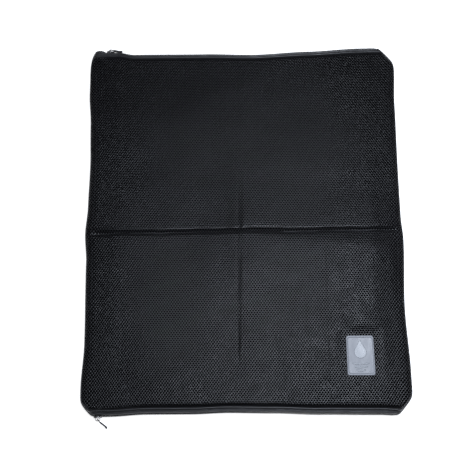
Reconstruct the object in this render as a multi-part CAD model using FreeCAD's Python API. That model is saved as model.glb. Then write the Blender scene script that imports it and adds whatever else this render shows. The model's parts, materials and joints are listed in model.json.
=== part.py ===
"""Mesh laundry bag, lying flat, with a zipped mouth along its top and bottom edges.

Frame, in millimetres: X across the bag, Y from the bottom zipper to the top zipper, Z up.
The origin is the middle of the underside, on the surface that the bag lies on.

Two spacer-mesh panels are joined along their long sides by turned seams. A thin divider
runs on the slant from the back of the top zipper to the front of the bottom zipper, so each
zipper opens a compartment of its own. Cloth that lifts when a zipper is open is a flap that
turns about the crease across the bag, which lies a little below its middle.
"""

import FreeCAD
import Part
import math
import os

# ---------------------------------------------------------------- driving dimensions
BAG_WIDTH = 500.0
BAG_HEIGHT = 600.0
BAG_THICKNESS = 18.0
PANEL_THICKNESS = 3.0
DIVIDER_THICKNESS = 0.8
CORNER_CUT_X = 18.0
CORNER_CUT_Y = 24.0
SEAM_WIDTH = 12.0
CLEARANCE = 0.3

# The flaps: where the crease between them lies, and how wide each is there and at its mouth.
CREASE_Y = -15.0
FLAP_HINGE_HALF = 235.0
FLAP_MOUTH_HALF = 182.0

# Zipper: a coil chain whose two halves stand one above the other on the edge of the bag.
PANEL_TO_EDGE = 12.0
COIL_DEPTH = 2.0
CHAIN_WIDTH = 6.0
CHAIN_GAP = 1.2
TAPE_THICKNESS = 0.5
TAPE_UNDER_PANEL = 10.0
STOP_LENGTH = 2.8
CHAIN_MARGIN = 3.4

# Slider, with its sizes along the chain (length), across it (width) and out from it.
SLIDER_LENGTH = 13.0
SLIDER_WIDTH = 9.0
SLIDER_NOSE_WIDTH = 7.4
PLATE_THICKNESS = 1.2
FLANGE_DEPTH = 1.8
POST_LENGTH = 2.6
POST_THICKNESS = 0.6
TOP_SLIDER_X = -219.0
BOTTOM_SLIDER_X = -222.0

# Bridge over the slider, and the pull tab that hangs on it.
BRIDGE_LENGTH = 8.0
BRIDGE_HEIGHT = 4.4
BRIDGE_WIDTH = 2.0
BRIDGE_ROOF = 1.2
BRIDGE_LEG = 1.4
PIVOT_ABOVE_PLATE = 2.1
PULL_LENGTH = 20.0
PULL_WIDTH = 6.0
PULL_THICKNESS = 1.2
PULL_BAR_HALF = 0.6
PULL_EYE_WIDTH = 3.4
PULL_EYE_LENGTH = 4.4
PULL_STEM_WIDTH = 4.2
PULL_TIP_LENGTH = 4.6
PULL_TIP_THICKNESS = 2.4
PULL_STEM_THICKNESS = 1.8
PULL_SLOT_WIDTH = 1.8
PULL_SLOT_LENGTH = 6.0
TOP_PULL_ANGLE = -6.0
BOTTOM_PULL_ANGLE = 43.0

# Badge on the front, near the bottom right corner.
BADGE_WIDTH = 42.0
BADGE_HEIGHT = 60.0
BADGE_CENTRE_X = 174.0
BADGE_CENTRE_Y = -213.0
BADGE_PLATE_THICKNESS = 1.2
BADGE_RIM_WIDTH = 1.8
BADGE_RIM_HEIGHT = 0.7
BADGE_CORNER_RADIUS = 4.0
BADGE_MOTIF_HEIGHT = 0.6
BADGE_DROP_RADIUS = 9.0
BADGE_DROP_HEIGHT = 18.0

# ---------------------------------------------------------------- derived positions
HALF_X = BAG_WIDTH / 2
HALF_Y = BAG_HEIGHT / 2
PANEL_HALF_X = HALF_X - SEAM_WIDTH
PANEL_HALF_Y = HALF_Y - PANEL_TO_EDGE
ZIP_HALF_X = HALF_X - CORNER_CUT_X
SEAM_HALF_Y = HALF_Y - CORNER_CUT_Y
FRONT_INSIDE_Z = BAG_THICKNESS - PANEL_THICKNESS
MIDDLE_Z = BAG_THICKNESS / 2
COIL_INNER_Y = HALF_Y - COIL_DEPTH
TAPE_INNER_Y = COIL_INNER_Y - TAPE_THICKNESS
CHAIN_HALF_X = ZIP_HALF_X - CHAIN_MARGIN
INNER_PLATE_Y = TAPE_INNER_Y - CLEARANCE - PLATE_THICKNESS
OUTER_PLATE_Y = HALF_Y + CLEARANCE
PLATE_TOP_Y = OUTER_PLATE_Y + PLATE_THICKNESS
PIVOT_Y = PLATE_TOP_Y + PIVOT_ABOVE_PLATE


# ---------------------------------------------------------------- solid helpers
def prism(points, direction):
    """Closed flat outline pushed along direction."""
    vectors = [FreeCAD.Vector(*point) for point in points]
    wire = Part.makePolygon(vectors + [vectors[0]])
    return Part.Face(wire).extrude(FreeCAD.Vector(*direction))


def flat_sheet(outline, low_z, high_z):
    """Outline in X and Y, given thickness in Z."""
    points = [(x, y, low_z) for x, y in outline]
    return prism(points, (0, 0, high_z - low_z))


def strip_along_x(profile, low_x, high_x):
    """Profile in Y and Z, run along X."""
    points = [(low_x, y, z) for y, z in profile]
    return prism(points, (high_x - low_x, 0, 0))


def strip_along_y(profile, half_y):
    """Profile in X and Z, run along Y."""
    points = [(x, -half_y, z) for x, z in profile]
    return prism(points, (0, 2 * half_y, 0))


def block(low, high):
    """Box between two opposite corners."""
    size = [h - l for l, h in zip(low, high)]
    return Part.makeBox(size[0], size[1], size[2], FreeCAD.Vector(*low))


def rounded_rectangle(width, height, radius, low_z, high_z):
    """Upright-cornered plate centred on the Z axis."""
    plate = block((-width / 2, -height / 2, low_z), (width / 2, height / 2, high_z))
    upright = [e for e in plate.Edges if abs(e.tangentAt(e.FirstParameter).z) > 0.99]
    return plate.makeFillet(radius, upright)


def mirror_x(shape):
    return shape.mirror(FreeCAD.Vector(0, 0, 0), FreeCAD.Vector(1, 0, 0))


def mirror_y(shape):
    return shape.mirror(FreeCAD.Vector(0, 0, 0), FreeCAD.Vector(0, 1, 0))


def turned_over(shape):
    """The same piece on the back of the bag."""
    return shape.mirror(FreeCAD.Vector(0, 0, MIDDLE_Z), FreeCAD.Vector(0, 0, 1))


def both_sides(shape):
    return [shape, mirror_x(shape)]


def save(name, shapes):
    """Write one node, and say what it holds."""
    shape = shapes[0] if len(shapes) == 1 else Part.makeCompound(shapes)
    assert shape.isValid(), name
    shape.exportStep(os.path.join("parts", name + ".step"))
    print(f"{name}: {len(shape.Solids)} solids, {shape.Volume:.1f} mm3")


# ---------------------------------------------------------------- panels and divider
def flap_half_width(y):
    """Half the width of a flap, which narrows from the crease to its mouth."""
    reach = PANEL_HALF_Y - CREASE_Y if y > CREASE_Y else PANEL_HALF_Y + CREASE_Y
    share = abs(y - CREASE_Y) / reach
    return FLAP_HINGE_HALF + (FLAP_MOUTH_HALF - FLAP_HINGE_HALF) * share


def flap_outline(up, far, inset):
    """Flap from just off the crease to far; up is 1 for the upper flap and -1 for the lower."""
    near = CREASE_Y + up * CLEARANCE
    near_half = flap_half_width(near) - inset
    far_half = flap_half_width(far) - inset
    return [(-near_half, near), (near_half, near), (far_half, far), (-far_half, far)]


def side_outline(up, far, outer_x):
    """Cloth between a flap and the right-hand seam, with the corner of the bag cut off."""
    near = CREASE_Y + up * CLEARANCE
    return [
        (flap_half_width(near) + CLEARANCE, near),
        (outer_x, near),
        (outer_x, up * SEAM_HALF_Y),
        (outer_x - CORNER_CUT_X + SEAM_WIDTH, far),
        (flap_half_width(far) + CLEARANCE, far),
    ]


def back_panel():
    outline = [
        (PANEL_HALF_X, -SEAM_HALF_Y),
        (PANEL_HALF_X, SEAM_HALF_Y),
        (ZIP_HALF_X, PANEL_HALF_Y),
        (-ZIP_HALF_X, PANEL_HALF_Y),
        (-PANEL_HALF_X, SEAM_HALF_Y),
        (-PANEL_HALF_X, -SEAM_HALF_Y),
        (-ZIP_HALF_X, -PANEL_HALF_Y),
        (ZIP_HALF_X, -PANEL_HALF_Y),
    ]
    return flat_sheet(outline, 0, PANEL_THICKNESS)


def front_panel_flap(up):
    outline = flap_outline(up, up * PANEL_HALF_Y, 0)
    return flat_sheet(outline, FRONT_INSIDE_Z, BAG_THICKNESS)


def front_panel_sides():
    sides = []
    for up in (1, -1):
        outline = side_outline(up, up * PANEL_HALF_Y, PANEL_HALF_X)
        sides += both_sides(flat_sheet(outline, FRONT_INSIDE_Z, BAG_THICKNESS))
    return sides


def side_seam():
    """Right-hand turned seam: each panel curls round, and they meet on the edge of the bag."""
    curl = SEAM_WIDTH / 2
    wall = PANEL_THICKNESS
    back_curl = [
        (PANEL_HALF_X, 0),
        (HALF_X - curl, 0),
        (HALF_X, curl),
        (HALF_X, MIDDLE_Z),
        (HALF_X - wall, MIDDLE_Z),
        (HALF_X - wall, curl + wall / 2),
        (HALF_X - curl - wall / 2, wall),
        (PANEL_HALF_X, wall),
    ]
    back = strip_along_y(back_curl, SEAM_HALF_Y)
    return [back, turned_over(back)]


def divider_slab(outline):
    """Part of the slanting divider: low at the top zipper, high at the bottom one."""
    rise = (MIDDLE_Z - PANEL_THICKNESS - 1.0) / PANEL_HALF_Y
    points = [(x, y, MIDDLE_Z - DIVIDER_THICKNESS / 2 - rise * y) for x, y in outline]
    return prism(points, (0, 0, DIVIDER_THICKNESS))


def divider_fixed():
    far = PANEL_HALF_Y - 4.0
    near = CREASE_Y + 0.5
    wide = PANEL_HALF_X - 2.0
    narrow = ZIP_HALF_X - 2.0
    upper = [
        (-wide, near),
        (wide, near),
        (wide, SEAM_HALF_Y - 4.0),
        (narrow, far),
        (-narrow, far),
        (-wide, SEAM_HALF_Y - 4.0),
    ]
    lower_side = side_outline(-1, -far, wide)
    return [divider_slab(upper)] + both_sides(divider_slab(lower_side))


def divider_flap():
    return divider_slab(flap_outline(-1, 4.0 - PANEL_HALF_Y, 1.0))


# ---------------------------------------------------------------- zipper, at the top edge
def front_tape(low_x, high_x):
    """Woven tape: flat under the panel, then turned down over the edge to carry the coil."""
    coil_top_z = MIDDLE_Z + CHAIN_GAP / 2
    profile = [
        (PANEL_HALF_Y - TAPE_UNDER_PANEL, FRONT_INSIDE_Z),
        (COIL_INNER_Y, FRONT_INSIDE_Z),
        (COIL_INNER_Y, coil_top_z),
        (TAPE_INNER_Y, coil_top_z),
        (TAPE_INNER_Y, FRONT_INSIDE_Z - TAPE_THICKNESS),
        (PANEL_HALF_Y - TAPE_UNDER_PANEL, FRONT_INSIDE_Z - TAPE_THICKNESS),
    ]
    return strip_along_x(profile, low_x, high_x)


def front_coil(low_x, high_x):
    """Half of the chain: a flattened coil on the outside of the tape."""
    low = (low_x, COIL_INNER_Y, MIDDLE_Z + CHAIN_GAP / 2)
    high = (high_x, HALF_Y, MIDDLE_Z + CHAIN_WIDTH / 2)
    bar = block(low, high)
    long_edges = [
        e
        for e in bar.Edges
        if abs(e.tangentAt(e.FirstParameter).x) > 0.99 and e.CenterOfMass.y > HALF_Y - 0.1
    ]
    return bar.makeFillet(0.8, long_edges)


def corner_tab():
    """Right-hand corner, where panels and tape ends are folded in between the layers."""
    outline = [
        (ZIP_HALF_X + CLEARANCE, PANEL_HALF_Y + CLEARANCE),
        (PANEL_HALF_X + CLEARANCE, SEAM_HALF_Y + CLEARANCE),
        (HALF_X, SEAM_HALF_Y + CLEARANCE),
        (ZIP_HALF_X + CLEARANCE, HALF_Y),
    ]
    return flat_sheet(outline, 1.0, BAG_THICKNESS - 1.0)


def chain_stops():
    """Metal stops: one pinched on each tape at the closed end, one across both at the far end."""
    stop_y = (TAPE_INNER_Y - 0.4, HALF_Y + 0.2)
    closed_x = (-ZIP_HALF_X + 0.2, -ZIP_HALF_X + 0.2 + STOP_LENGTH)
    open_x = (CHAIN_HALF_X + 0.2, CHAIN_HALF_X + 0.2 + STOP_LENGTH)
    upper_z = (MIDDLE_Z + CHAIN_GAP / 2, MIDDLE_Z + CHAIN_WIDTH / 2)
    upper = stop_around_tape(closed_x, stop_y, upper_z)
    far = stop_around_tape(open_x, stop_y, upper_z)
    far_bar_low = (open_x[0], COIL_INNER_Y, MIDDLE_Z - CHAIN_GAP / 2)
    far_bar_high = (open_x[1], stop_y[1], MIDDLE_Z + CHAIN_GAP / 2)
    far_stop = far.fuse(turned_over(far)).fuse(block(far_bar_low, far_bar_high)).removeSplitter()
    return [upper, turned_over(upper), far_stop]


def stop_around_tape(span_x, span_y, span_z):
    """Small staple with the tape passing through it."""
    outside = block(
        (span_x[0], span_y[0], span_z[0]),
        (span_x[1], span_y[1], span_z[1]),
    )
    tape_slot = block(
        (span_x[0] - 1, TAPE_INNER_Y, span_z[0] - 1),
        (span_x[1] + 1, COIL_INNER_Y, span_z[1] + 1),
    )
    outer_part = outside.cut(tape_slot)
    return max(outer_part.Solids, key=lambda solid: solid.Volume)


def slider_body(centre_x):
    """Two plates joined by a thin post, the outer one with flanges that hold the coils."""
    half_length = SLIDER_LENGTH / 2
    half_width = SLIDER_WIDTH / 2
    nose = SLIDER_NOSE_WIDTH / 2
    plate = [
        (-half_length, -half_width + 1.0),
        (-half_length + 1.0, -half_width),
        (1.0, -half_width),
        (half_length, -nose),
        (half_length, nose),
        (1.0, half_width),
        (-half_length + 1.0, half_width),
        (-half_length, half_width - 1.0),
    ]
    inner_points = [(centre_x + x, INNER_PLATE_Y, MIDDLE_Z + z) for x, z in plate]
    outer_points = [(centre_x + x, OUTER_PLATE_Y, MIDDLE_Z + z) for x, z in plate]
    body = prism(inner_points, (0, PLATE_THICKNESS, 0))
    body = body.fuse(prism(outer_points, (0, PLATE_THICKNESS, 0)))
    channel_z = CHAIN_WIDTH / 2 + CLEARANCE
    for side in (-1, 1):
        flange_z = sorted((side * channel_z, side * half_width))
        low = (centre_x - half_length + 1.0, OUTER_PLATE_Y - FLANGE_DEPTH, MIDDLE_Z + flange_z[0])
        high = (centre_x + 1.0, OUTER_PLATE_Y, MIDDLE_Z + flange_z[1])
        body = body.fuse(block(low, high))
    post_low_x = centre_x - half_length + 1.0
    post_low = (post_low_x, INNER_PLATE_Y, MIDDLE_Z - POST_THICKNESS / 2)
    post_high = (post_low_x + POST_LENGTH, PLATE_TOP_Y, MIDDLE_Z + POST_THICKNESS / 2)
    return body.fuse(block(post_low, post_high)).removeSplitter()


def slider_bridge(centre_x):
    """Arch that the pull tab hangs on."""
    half = BRIDGE_LENGTH / 2
    top = PLATE_TOP_Y + BRIDGE_HEIGHT
    inner_half = half - BRIDGE_LEG
    inner_top = top - BRIDGE_ROOF
    bevel = 1.4
    low_z = MIDDLE_Z - BRIDGE_WIDTH / 2
    outline = [
        (-half, PLATE_TOP_Y),
        (-half, top - bevel),
        (-half + bevel, top),
        (half - bevel, top),
        (half, top - bevel),
        (half, PLATE_TOP_Y),
        (inner_half, PLATE_TOP_Y),
        (inner_half, inner_top - 0.8),
        (inner_half - 0.8, inner_top),
        (-inner_half + 0.8, inner_top),
        (-inner_half, inner_top - 0.8),
        (-inner_half, PLATE_TOP_Y),
    ]
    points = [(centre_x + x, y, low_z) for x, y in outline]
    return prism(points, (0, 0, BRIDGE_WIDTH))


def pull_tab(centre_x, angle):
    """Pull along +X from its pivot, turned outwards by angle about an axis along Z."""
    eye_start = PULL_BAR_HALF
    eye_end = eye_start + PULL_EYE_LENGTH
    tip_start = PULL_LENGTH - PULL_TIP_LENGTH
    half_thick = PULL_THICKNESS / 2
    half_wide = PULL_WIDTH / 2
    half_stem = PULL_STEM_WIDTH / 2
    plan = [
        (-PULL_BAR_HALF, -half_wide),
        (eye_end + 0.4, -half_wide),
        (eye_end + 1.6, -half_stem),
        (tip_start, -half_stem),
        (tip_start + 1.4, -half_wide),
        (PULL_LENGTH - 1.0, -half_wide),
        (PULL_LENGTH, -half_wide + 1.0),
        (PULL_LENGTH, half_wide - 1.0),
        (PULL_LENGTH - 1.0, half_wide),
        (tip_start + 1.4, half_wide),
        (tip_start, half_stem),
        (eye_end + 1.6, half_stem),
        (eye_end + 0.4, half_wide),
        (-PULL_BAR_HALF, half_wide),
    ]
    plate = prism([(x, -half_thick, z) for x, z in plan], (0, PULL_THICKNESS, 0))
    eye = block((eye_start, -5, -PULL_EYE_WIDTH / 2), (eye_end, 5, PULL_EYE_WIDTH / 2))
    slot_start = eye_end + 2.2
    slot_end = slot_start + PULL_SLOT_LENGTH
    slot = block((slot_start, -5, -PULL_SLOT_WIDTH / 2), (slot_end, 5, PULL_SLOT_WIDTH / 2))
    grip = block(
        (tip_start + 1.4, -PULL_TIP_THICKNESS / 2, -half_wide + 0.6),
        (PULL_LENGTH - 0.6, PULL_TIP_THICKNESS / 2, half_wide - 0.6),
    )
    stem = block(
        (eye_end + 1.6, -PULL_STEM_THICKNESS / 2, -half_stem),
        (tip_start + 1.4, PULL_STEM_THICKNESS / 2, half_stem),
    )
    tab = plate.fuse(stem).cut(eye).cut(slot).fuse(grip).removeSplitter()
    tab.rotate(FreeCAD.Vector(0, 0, 0), FreeCAD.Vector(0, 0, 1), angle)
    tab.translate(FreeCAD.Vector(centre_x, PIVOT_Y, MIDDLE_Z))
    return tab


def save_zipper(edge, slider_x, pull_angle, place):
    """One zipper's nodes; place puts the shapes of the top zipper on the edge they belong to."""
    tape_half = ZIP_HALF_X
    end = FLAP_MOUTH_HALF + CLEARANCE
    middle_tape = front_tape(-FLAP_MOUTH_HALF, FLAP_MOUTH_HALF)
    middle_coil = front_coil(-FLAP_MOUTH_HALF, FLAP_MOUTH_HALF)
    end_tape = both_sides(front_tape(end, tape_half))
    end_coil = both_sides(front_coil(end, CHAIN_HALF_X))
    nodes = {
        "front_tape": [middle_tape],
        "front_coil": [middle_coil],
        "front_tape_ends": end_tape,
        "front_coil_ends": end_coil,
        "back_tape": [turned_over(front_tape(-tape_half, tape_half))],
        "back_coil": [turned_over(front_coil(-CHAIN_HALF_X, CHAIN_HALF_X))],
        "corner_tabs": both_sides(corner_tab()),
        "chain_stops": chain_stops(),
        "slider_body": [slider_body(slider_x)],
        "slider_bridge": [slider_bridge(slider_x)],
        "pull_tab": [pull_tab(slider_x, pull_angle)],
    }
    for name, shapes in nodes.items():
        save(edge + "_" + name, [place(shape) for shape in shapes])


# ---------------------------------------------------------------- badge
def badge_plate():
    low_z = BAG_THICKNESS
    top_z = low_z + BADGE_PLATE_THICKNESS
    rim_z = top_z + BADGE_RIM_HEIGHT
    plate = rounded_rectangle(BADGE_WIDTH, BADGE_HEIGHT, BADGE_CORNER_RADIUS, low_z, rim_z)
    inner_width = BADGE_WIDTH - 2 * BADGE_RIM_WIDTH
    inner_height = BADGE_HEIGHT - 2 * BADGE_RIM_WIDTH
    inner_radius = BADGE_CORNER_RADIUS - BADGE_RIM_WIDTH
    dish = rounded_rectangle(inner_width, inner_height, inner_radius, top_z, rim_z + 1)
    plate = plate.cut(dish)
    plate.translate(FreeCAD.Vector(BADGE_CENTRE_X, BADGE_CENTRE_Y, 0))
    return plate


def badge_motif():
    """Raised water drop over three raised bars."""
    low_z = BAG_THICKNESS + BADGE_PLATE_THICKNESS
    centre_y = BADGE_CENTRE_Y + 5.0
    ball = Part.makeCylinder(
        BADGE_DROP_RADIUS,
        BADGE_MOTIF_HEIGHT,
        FreeCAD.Vector(BADGE_CENTRE_X, centre_y, low_z),
    )
    lean = math.acos(BADGE_DROP_RADIUS / BADGE_DROP_HEIGHT)
    touch_x = BADGE_DROP_RADIUS * math.sin(lean)
    touch_y = BADGE_DROP_RADIUS * math.cos(lean)
    point = flat_sheet(
        [
            (BADGE_CENTRE_X - touch_x, centre_y + touch_y),
            (BADGE_CENTRE_X, centre_y),
            (BADGE_CENTRE_X + touch_x, centre_y + touch_y),
            (BADGE_CENTRE_X, centre_y + BADGE_DROP_HEIGHT),
        ],
        low_z,
        low_z + BADGE_MOTIF_HEIGHT,
    )
    drop = ball.fuse(point).removeSplitter()
    bars = []
    for number, half_width in enumerate((12.0, 9.0, 6.0)):
        bar_y = BADGE_CENTRE_Y - 11.0 - 4.6 * number
        low = (BADGE_CENTRE_X - half_width, bar_y - 1.1, low_z)
        high = (BADGE_CENTRE_X + half_width, bar_y + 1.1, low_z + BADGE_MOTIF_HEIGHT)
        bars.append(block(low, high))
    return [drop] + bars


# ---------------------------------------------------------------- the whole bag
os.makedirs("parts", exist_ok=True)

save("back_panel", [back_panel()])
save("front_panel_upper", [front_panel_flap(1)])
save("front_panel_lower", [front_panel_flap(-1)])
save("front_panel_sides", front_panel_sides())
save("right_side_seam", side_seam())
save("left_side_seam", [mirror_x(curl) for curl in side_seam()])
save("divider_fixed", divider_fixed())
save("divider_flap", [divider_flap()])
save_zipper("top", TOP_SLIDER_X, TOP_PULL_ANGLE, lambda shape: shape)
save_zipper("bottom", BOTTOM_SLIDER_X, BOTTOM_PULL_ANGLE, mirror_y)
save("badge_plate", [badge_plate()])
save("badge_motif", badge_motif())
print(f"pull pivots at y = +-{PIVOT_Y:.2f}, z = {MIDDLE_Z:.2f}")
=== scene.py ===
import json
import math

import bpy
import numpy as np
from mathutils import Euler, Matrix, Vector


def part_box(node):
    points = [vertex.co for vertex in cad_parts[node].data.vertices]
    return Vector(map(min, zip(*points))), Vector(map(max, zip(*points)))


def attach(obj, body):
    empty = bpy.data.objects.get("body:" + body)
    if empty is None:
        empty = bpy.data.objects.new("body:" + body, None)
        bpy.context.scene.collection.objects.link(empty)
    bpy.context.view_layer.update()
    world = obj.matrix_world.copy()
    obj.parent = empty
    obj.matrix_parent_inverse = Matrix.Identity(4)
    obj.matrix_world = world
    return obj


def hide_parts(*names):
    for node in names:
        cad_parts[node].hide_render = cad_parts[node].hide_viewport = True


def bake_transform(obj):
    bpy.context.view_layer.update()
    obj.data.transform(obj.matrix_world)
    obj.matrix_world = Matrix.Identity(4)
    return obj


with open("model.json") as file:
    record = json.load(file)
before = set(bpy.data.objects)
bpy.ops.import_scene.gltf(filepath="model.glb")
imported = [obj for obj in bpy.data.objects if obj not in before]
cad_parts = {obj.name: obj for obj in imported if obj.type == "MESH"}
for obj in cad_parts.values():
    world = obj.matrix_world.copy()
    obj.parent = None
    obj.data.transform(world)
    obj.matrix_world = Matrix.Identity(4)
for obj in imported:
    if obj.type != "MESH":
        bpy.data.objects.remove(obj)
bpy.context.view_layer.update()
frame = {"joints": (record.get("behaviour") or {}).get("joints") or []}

MM = 0.001
QUARTER = math.pi / 2
FULL = 2 * math.pi


def cad(node):
    """Lowest and highest corners of a CAD node, in millimetres."""
    low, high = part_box(node)
    return np.array(low) / MM, np.array(high) / MM


def joint(name):
    return next(j for j in frame["joints"] if j["name"] == name)


# ------------------------------------------------------------ sizes taken from the frame, in mm
HALF_X = cad("right_side_seam")[1][0]
HALF_Y = cad("top_back_coil")[1][1]
TOP_Z = cad("front_panel_upper")[1][2]
MIDDLE_Z = TOP_Z / 2
WALL = cad("back_panel")[1][2]
HEM_Y = cad("back_panel")[1][1]
COIL_Y = cad("top_back_coil")[0][1]
COIL_HALF_X = cad("top_back_coil")[1][0]
CREASE_Y = joint("upper_mouth_lift")["pos_m"][1] / MM

# ------------------------------------------------------------ spacer mesh
CELL_X = 4.25
CELL_Y = 5.95
HOLE_STRETCH = 1.10
MESH_COLUMNS = 4
# Faces that reach in to this share of the cell or less take the near-black hole material: painted shade
# in the holes.
STRAND_SHARE = 0.80
FRONT_RINGS = ((1.0, 0.0), (0.84, -0.03), (0.76, -0.40), (0.54, -1.0), (0.34, -1.4))
BACK_RINGS = ((1.0, 0.0), (0.80, -0.20), (0.42, -1.30))

# How the cloth rolls over at its edges: where it starts, how far it reaches out and down.
SIDE_ROLL = {"start": 234.0, "out": 16.0, "down": 8.4, "cloth": 19.0}
HEM_ROLL = {"start": 283.0, "out": 5.0, "down": 4.4, "cloth": 7.4}
CORNER_ROLL = {"out": 5.0, "down": 0.0, "cloth": 8.0}

# How far each edge of the lying bag stands inwards, as (place along the edge, mm inwards):
# measured on the outline in the photograph, thinned to the turns of each edge and rounded.
LEFT_EDGE = ((-300, 1.0), (-256, 1.2), (-190, 4.6), (-60, 2.9), (-15, -0.2), (30, 2.8),
             (100, 4.1), (170, 2.4), (225, -0.9), (300, -1.4))
RIGHT_EDGE = ((-300, 0.6), (-240, 1.4), (-140, 5.0), (-30, 0.7), (8, 2.9), (70, 3.0), (200, 1.9),
              (265, -0.8), (300, 0.0))
TOP_EDGE = ((-250, -0.6), (-206, 0.0), (-178, 4.9), (-60, 6.0), (20, 8.6), (110, 4.7),
            (195, 0.6), (250, 0.0))
BOTTOM_EDGE = ((-250, 0.0), (-206, 0.2), (-150, 2.9), (-80, 2.7), (-28, 4.3), (40, 2.8),
               (110, 0.2), (200, -0.9), (226, -2.4), (250, -1.0))
# Corners are cut off and turned in: each cut starts on the mouth at x and ends on the side at y.
CORNER_CUTS = {("left", "top"): (243.5, 284.5), ("right", "top"): (227.0, 272.0),
               ("left", "bottom"): (231.0, 279.0), ("right", "bottom"): (226.0, 274.0)}
SIDES = {"left": -1, "right": 1}
MOUTHS = {"top": ("upper_mouth", 1), "bottom": ("lower_mouth", -1)}

# Where the stiff badge lies on the cloth.
BADGE_LOW, BADGE_HIGH = cad("badge_plate")
BADGE_CENTRE = (BADGE_LOW + BADGE_HIGH) / 2
BADGE_HALF = (BADGE_HIGH - BADGE_LOW) / 2


# ============================================================ small helpers
def smooth(t):
    t = np.clip(t, 0.0, 1.0)
    return t * t * (3 - 2 * t)


def bell(distance, width):
    return np.exp(-((distance / width) ** 2))


def through(place, knots):
    """Smooth curve through a few points."""
    places, values = np.array(knots, float).T
    place = np.asarray(place, float)
    after = np.clip(np.searchsorted(places, place), 1, len(places) - 1)
    share = (place - places[after - 1]) / (places[after] - places[after - 1])
    return values[after - 1] + (values[after] - values[after - 1]) * smooth(share)


def ripple(x, y, seed, length):
    """Slow irregular waves, from -1 to 1, about length mm long."""
    total = 0.0
    for k in range(5):
        turn = seed * 1.7 + k * 2.4
        along = (x * math.cos(turn) + y * math.sin(turn)) / length
        total = total + np.sin(FULL * along * (0.7 + 0.23 * k) + seed * 3.1 + k * 1.9)
    return total / 5


def speckle(x, y, seed):
    """Repeatable scatter from 0 to 1, one value for each place."""
    value = np.sin(x * 12.9898 + y * 78.233 + seed * 37.719) * 43758.5453
    return value - np.floor(value)


# ============================================================ the lie of the cloth
def lie(x, y):
    """Plan of the bag as it lies: its edges wave a little."""
    from_left = through(y, LEFT_EDGE)
    from_right = through(y, RIGHT_EDGE)
    near_side = np.clip((np.abs(x) - 90) / (HALF_X - 90), 0, 1) ** 2
    near_mouth = np.clip((np.abs(y) - 140) / (HALF_Y - 140), 0, 1) ** 2
    new_x = x + near_side * np.where(x < 0, from_left, -from_right)
    new_y = y + near_mouth * np.where(y < 0, through(x, BOTTOM_EDGE), -through(x, TOP_EDGE))
    return new_x, new_y


def roll(distance, spec):
    """Cloth that runs distance past where it starts to roll: (out, down, angle turned)."""
    angle = np.clip(distance / spec["cloth"], 0, 1) * QUARTER
    return spec["out"] * np.sin(angle), spec["down"] * (1 - np.cos(angle)), angle


def crease_line(x):
    """Middle of the fold across the bag, which wanders a little."""
    return CREASE_Y - 1.0 + 1.4 * bell(x, 60.0) + 0.5 * np.sin(x / 17.0) + 0.3 * np.sin(x / 6.3)


def crease_relief(x, y):
    """Height of the folds left by storing the bag folded in four."""
    across = y - crease_line(x)
    left = smooth((-x + 8) / 20)
    right = 1 - left
    far_right = np.clip(x / 240.0, 0, 1)
    half_width = 3.3 + 1.6 * bell(x + 218, 16) + 0.8 * np.abs(np.sin(x / 31.0))
    groove = -4.4 * bell(across, half_width * 0.72)
    above = smooth((across + 1) / 4) * bell(np.maximum(across - 3.0, 0), 12.0 + 30.0 * right)
    band = 7.0 + 26.0 * far_right
    below = smooth(-across / band) * bell(np.maximum(-across - band, 0), 60.0)
    left_fold = 0.4 * above + 0.5 * below
    right_fold = (0.8 + 1.3 * far_right) * above + (0.8 + 3.2 * far_right) * below
    edge_fade = smooth((HALF_X - 4 - np.abs(x)) / 22)
    horizontal = (groove + left * left_fold + right * right_fold) * edge_fade
    aside = x - (-5.4 + 0.021 * y)
    reach = smooth((236 - np.abs(y - 3.0)) / 30)
    ridge_share = smooth((y - 50) / 70)
    line = (0.6 * ridge_share - 1.5 * (1 - ridge_share)) * bell(aside, 1.5)
    vertical = line + 1.4 * bell(aside + 8.0, 9.0) * bell(y - 10, 90)
    knot = 2.0 * bell(x, 4.5) * bell(y - 233, 6.0)
    return horizontal + vertical * reach + knot


def squashed(x, y):
    """Share by which storing has pressed the mesh flat, in a band above the fold."""
    across = y - crease_line(x)
    band = smooth(across / 2 + 1) * smooth((9.5 - across) / 3)
    reach = smooth((-x + 60) / 30) + 0.35
    return band * np.minimum(reach, 1.0)


def relief(x, y):
    """Height of the relaxed front cloth above its flat level."""
    side_gap = HALF_X - np.abs(x)
    mouth_gap = HALF_Y - np.abs(y)
    free = smooth((side_gap - 6) / 60) * smooth((mouth_gap - 10) / 50)
    waves = 1.6 * ripple(x, y, 1.0, 230.0) + 0.7 * ripple(x, y, 2.6, 95.0)
    sag = -2.6 * (1 - smooth(side_gap / 52))
    low_corner = smooth((-x - 90) / 150) * smooth((-y - 130) / 150)
    low_top = smooth((y - 130) / 160) * (1 - 0.35 * smooth((x + 40) / 160))
    pocket = -3.6 * low_corner - 3.4 * low_top
    swell = 5.0 * bell(x - 212, 70) * bell(y + 110, 130) + 1.8 * bell(x + 40, 70) * bell(y + 70, 90)
    hem_pull = 0.35 * ripple(x, y * 0.2, 4.2, 46.0) * smooth((60 - mouth_gap) / 50)
    cloth = (waves + swell) * free + sag + pocket + crease_relief(x, y) + hem_pull
    off_badge = np.maximum(
        np.abs(x - BADGE_CENTRE[0]) - BADGE_HALF[0], np.abs(y - BADGE_CENTRE[1]) - BADGE_HALF[1]
    )
    under_badge = 1 - smooth((off_badge - 2) / 16)
    return cloth * (1 - under_badge) - 0.2 * under_badge


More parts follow.
